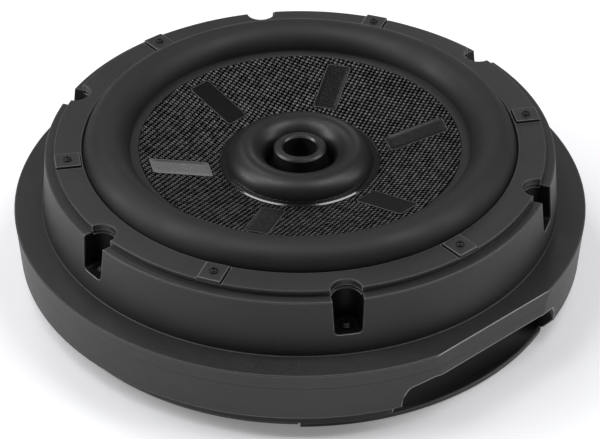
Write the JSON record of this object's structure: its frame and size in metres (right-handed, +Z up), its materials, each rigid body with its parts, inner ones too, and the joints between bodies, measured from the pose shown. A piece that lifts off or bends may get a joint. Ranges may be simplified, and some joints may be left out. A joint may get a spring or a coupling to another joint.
{
  "type": "powered car subwoofer",
  "caption": "Round low subwoofer with a built-in amplifier for a spare-wheel well: flanged casing, ring-domed woven cone, central bolt sleeve.",
  "frame": {"origin": "centre of the flat base it rests on", "axes": "+Z up along the loudspeaker axis, -Y towards the viewer, connector bay towards +X -Y"},
  "size_m": [0.372, 0.372, 0.1032],
  "materials": {
    "casing_plastic": "fine textured black",
    "frame_plastic": "smooth satin black",
    "black_rubber": "matte black",
    "woven_cone": "glossy black weave with smooth bars",
    "dust_cap_plastic": "satin black",
    "spider_cloth": "amber treated cloth",
    "dark_steel": "dark satin with bright edges",
    "screw_steel": "zinc-plated",
    "aluminium": "bare, brushed",
    "ferrite": "sintered grey",
    "former_paper": "brown laminated paper",
    "copper": "enamelled copper wire",
    "board": "green glass-fibre board",
    "component_plastic": "black moulded",
    "grey_plastic": "grey moulded",
    "white_plastic": "white moulded",
    "red_plastic": "red moulded",
    "fuse_plastic": "translucent orange",
    "lens": "blue tinted lens"
  },
  "bodies": {
    "housing": {"upper_casing": "casing_plastic", "lower_casing": "casing_plastic", "connector_tray": "casing_plastic", "casing_seal": "black_rubber", "frame_gasket": "black_rubber", "surround": "black_rubber", "speaker_lead": "black_rubber", "driver_frame": "frame_plastic", "spider": "spider_cloth", "top_plate": "dark_steel", "back_plate": "dark_steel", "magnet": "ferrite", "hub_sleeve": "dark_steel", "tinsel_lead_left": "copper", "tinsel_lead_right": "copper", "driver_terminal": "grey_plastic", "heat_sink_plate": "aluminium", "amp_circuit_board": "board", "power_toroid": "copper", "supply_capacitor_1": "component_plastic", "supply_capacitor_2": "component_plastic", "power_transistor_1": "component_plastic", "power_transistor_2": "component_plastic", "transistor_clamp": "screw_steel", "connector_panel": "component_plastic", "power_socket": "white_plastic", "speaker_input_socket": "white_plastic", "remote_port": "component_plastic", "fuse_holder": "component_plastic", "fuse": "fuse_plastic", "rca_jack_left": "white_plastic", "rca_jack_right": "red_plastic", "power_led": "lens", "level_pot": "grey_plastic", "crossover_pot": "grey_plastic", "bass_boost_pot": "grey_plastic", "phase_switch_body": "grey_plastic", "casing_screw_1": "screw_steel", "driver_screw_1": "screw_steel", "casing_screw_2": "screw_steel", "driver_screw_2": "screw_steel", "casing_screw_3": "screw_steel", "driver_screw_3": "screw_steel", "casing_screw_4": "screw_steel", "driver_screw_4": "screw_steel", "casing_screw_5": "screw_steel", "driver_screw_5": "screw_steel", "casing_screw_6": "screw_steel", "driver_screw_6": "screw_steel"},
    "cone_assembly": {"cone": "woven_cone", "dust_cap": "dust_cap_plastic", "voice_coil_former": "former_paper", "voice_coil_winding": "copper"},
    "level_knob": {"level_knob": "component_plastic"},
    "crossover_knob": {"crossover_knob": "component_plastic"},
    "bass_boost_knob": {"bass_boost_knob": "component_plastic"},
    "phase_switch": {"phase_switch_slider": "white_plastic"}
  },
  "joints": [
    {"name": "cone_travel", "type": "slide", "parent": "housing", "child": "cone_assembly", "axis": [0, 0, 1], "range_m": [-0.008, 0.008], "stiffness_N_per_m": 1500, "deforming": ["surround", "spider", "tinsel_lead_left", "tinsel_lead_right"]},
    {"name": "level_turn", "type": "hinge", "parent": "housing", "child": "level_knob", "pos_m": [0.1228, -0.09406, 0.0262], "axis": [0.6408, -0.7677, 0], "range_deg": [-140, 140]},
    {"name": "crossover_turn", "type": "hinge", "parent": "housing", "child": "crossover_knob", "pos_m": [0.1294, -0.08855, 0.0262], "axis": [0.6408, -0.7677, 0], "range_deg": [-140, 140]},
    {"name": "bass_boost_turn", "type": "hinge", "parent": "housing", "child": "bass_boost_knob", "pos_m": [0.136, -0.08304, 0.0262], "axis": [0.6408, -0.7677, 0], "range_deg": [-140, 140]},
    {"name": "phase_slide", "type": "slide", "parent": "housing", "child": "phase_switch", "axis": [0.7677, 0.6408, 0], "range_m": [0, 0.004]}
  ]
}
